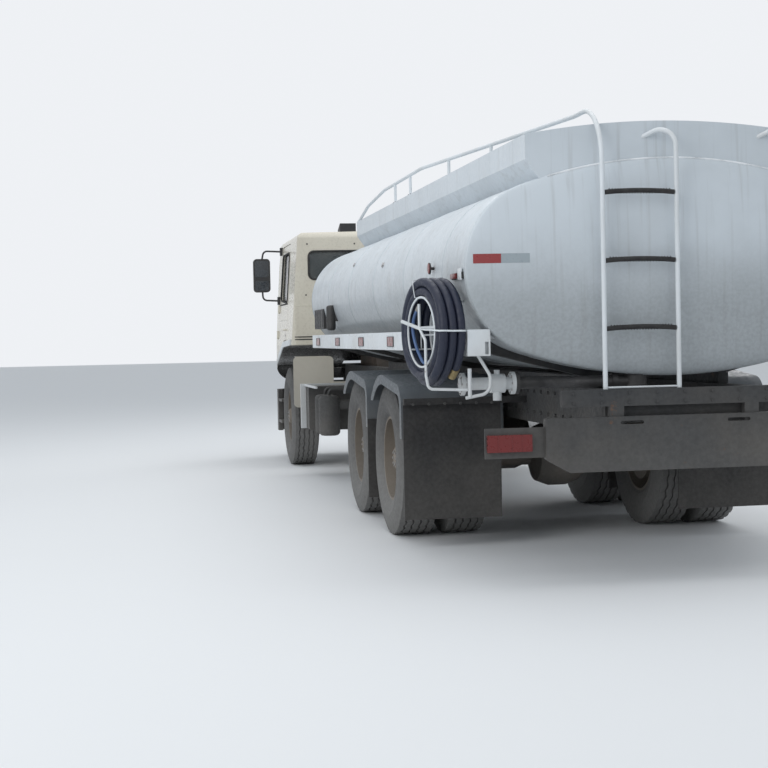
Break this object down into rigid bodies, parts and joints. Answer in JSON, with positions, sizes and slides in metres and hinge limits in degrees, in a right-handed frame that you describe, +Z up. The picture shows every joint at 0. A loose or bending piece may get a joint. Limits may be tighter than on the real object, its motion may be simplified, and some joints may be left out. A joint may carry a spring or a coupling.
{
  "type": "three-axle tank truck",
  "caption": "Cab-over truck with a long oval tank, a walkway coaming with manways, guard rail, rear ladder, hose coil and discharge pipe.",
  "frame": {"origin": "centre of the whole truck's box at floor level, under the wheels", "axes": "+Z up, the truck faces -Y, its left side is +X"},
  "size_m": [2.99, 9.8295, 2.5789],
  "materials": {
    "tank_paint": "satin",
    "rail_white": "satin",
    "cab_paint": "satin",
    "frame_paint": "matte",
    "cast_parts": "matte",
    "tyre_rubber": "matte",
    "rim_paint": "matte",
    "grey_plastic": "matte",
    "black_plastic": "matte",
    "black_rubber": "matte",
    "hose_rubber": "satin",
    "bare_aluminium": "brushed",
    "window_glass": "polished",
    "clear_lens": "polished",
    "red_lens": "gloss"
  },
  "bodies": {
    "chassis": {"tank_body": "tank_paint", "coaming": "tank_paint", "manways": "tank_paint", "guard_rail": "rail_white", "ladder": "rail_white", "ladder_rungs": "black_rubber", "chassis_frame": "frame_paint", "sub_frame": "frame_paint", "side_rails": "rail_white", "front_axle": "cast_parts", "drive_axles": "cast_parts", "engine_block": "cast_parts", "springs": "frame_paint", "rear_mudguards": "grey_plastic", "front_mudguards": "cab_paint", "rear_panel": "frame_paint", "red_lamps": "red_lens", "battery_box": "black_plastic", "air_cylinders": "frame_paint", "fuel_tank": "bare_aluminium", "discharge_pipe": "rail_white", "hose_coil": "hose_rubber", "hose_rack": "rail_white", "front_bumper": "black_plastic", "headlamps": "clear_lens", "tank_fittings": "black_plastic", "mud_flaps": "black_rubber", "rear_pipe": "black_plastic"},
    "cab": {"cab_shell": "cab_paint", "cab_panels": "cab_paint", "wheel_arch_trims": "rail_white", "cab_glass": "window_glass", "grille": "black_plastic", "cab_interior": "grey_plastic", "cab_fittings": "black_plastic"},
    "door_left": {"door_left": "cab_paint", "door_glass_left": "window_glass"},
    "door_right": {"door_right": "cab_paint", "door_glass_right": "window_glass"},
    "steering_wheel": {"steering_wheel": "black_plastic"},
    "manway_lid_1": {"manway_lid_1": "tank_paint"},
    "manway_lid_2": {"manway_lid_2": "tank_paint"},
    "manway_lid_3": {"manway_lid_3": "tank_paint"},
    "knuckle_left": {"knuckle_left": "cast_parts"},
    "front_wheel_left": {"front_tyre_left": "tyre_rubber", "front_rim_left": "rim_paint"},
    "drive_wheels_left": {"drive_tyres_left": "tyre_rubber", "drive_rims_left": "rim_paint"},
    "rear_wheels_left": {"rear_tyres_left": "tyre_rubber", "rear_rims_left": "rim_paint"},
    "knuckle_right": {"knuckle_right": "cast_parts"},
    "front_wheel_right": {"front_tyre_right": "tyre_rubber", "front_rim_right": "rim_paint"},
    "drive_wheels_right": {"drive_tyres_right": "tyre_rubber", "drive_rims_right": "rim_paint"},
    "rear_wheels_right": {"rear_tyres_right": "tyre_rubber", "rear_rims_right": "rim_paint"},
    "tie_rod": {"tie_rod": "cast_parts"}
  },
  "joints": [
    {"name": "cab_tilt", "type": "hinge", "parent": "chassis", "child": "cab", "pos_m": [0, -4.75, 0.835], "axis": [1, 0, 0], "range_deg": [0, 50]},
    {"name": "door_left_swing", "type": "hinge", "parent": "cab", "child": "door_left", "pos_m": [1.241, -4.434, 1.29], "axis": [0.07, 0, -0.9975], "range_deg": [0, 65]},
    {"name": "door_right_swing", "type": "hinge", "parent": "cab", "child": "door_right", "pos_m": [-1.241, -4.434, 1.29], "axis": [0.07, 0, 0.9975], "range_deg": [0, 65]},
    {"name": "steering_wheel_turn", "type": "hinge", "parent": "cab", "child": "steering_wheel", "pos_m": [0.56, -4.29, 1.76], "axis": [0, 0.6, 0.8], "range_deg": [-630, 630]},
    {"name": "manway_lid_1_lift", "type": "hinge", "parent": "chassis", "child": "manway_lid_1", "pos_m": [0, 0.122, 2.3643], "axis": [-1, 0, 0], "range_deg": [0, 100]},
    {"name": "manway_lid_2_lift", "type": "hinge", "parent": "chassis", "child": "manway_lid_2", "pos_m": [0, 2.022, 2.3643], "axis": [-1, 0, 0], "range_deg": [0, 100]},
    {"name": "manway_lid_3_lift", "type": "hinge", "parent": "chassis", "child": "manway_lid_3", "pos_m": [0, 3.922, 2.3643], "axis": [-1, 0, 0], "range_deg": [0, 100]},
    {"name": "steer_left", "type": "hinge", "parent": "chassis", "child": "knuckle_left", "pos_m": [0.9, -3.515, 0.52], "axis": [0, 0, 1], "range_deg": [-35, 35]},
    {"name": "steer_right", "type": "hinge", "parent": "chassis", "child": "knuckle_right", "pos_m": [-0.9, -3.515, 0.52], "axis": [0, 0, 1], "range_deg": [-35, 35]},
    {"name": "tie_rod_turn", "type": "hinge", "parent": "knuckle_left", "child": "tie_rod", "pos_m": [0.9, -3.335, 0.4533], "axis": [0, 0, 1], "range_deg": [-35, 35]},
    {"name": "front_wheel_left_roll", "type": "hinge", "parent": "knuckle_left", "child": "front_wheel_left", "pos_m": [1.0935, -3.515, 0.52], "axis": [1, 0, 0], "continuous": true},
    {"name": "drive_wheels_left_roll", "type": "hinge", "parent": "chassis", "child": "drive_wheels_left", "pos_m": [0.8875, 1.075, 0.52], "axis": [1, 0, 0], "continuous": true},
    {"name": "rear_wheels_left_roll", "type": "hinge", "parent": "chassis", "child": "rear_wheels_left", "pos_m": [0.8875, 2.435, 0.52], "axis": [1, 0, 0], "continuous": true},
    {"name": "front_wheel_right_roll", "type": "hinge", "parent": "knuckle_right", "child": "front_wheel_right", "pos_m": [-1.0935, -3.515, 0.52], "axis": [1, 0, 0], "continuous": true},
    {"name": "drive_wheels_right_roll", "type": "hinge", "parent": "chassis", "child": "drive_wheels_right", "pos_m": [-0.8875, 1.075, 0.52], "axis": [1, 0, 0], "continuous": true},
    {"name": "rear_wheels_right_roll", "type": "hinge", "parent": "chassis", "child": "rear_wheels_right", "pos_m": [-0.8875, 2.435, 0.52], "axis": [1, 0, 0], "continuous": true}
  ],
  "couplings": [
    {"joint": "steer_right", "follows": "steer_left", "ratio": 1},
    {"joint": "tie_rod_turn", "follows": "steer_left", "ratio": -1},
    {"joint": "steering_wheel_turn", "follows": "steer_left", "ratio": 18}
  ]
}
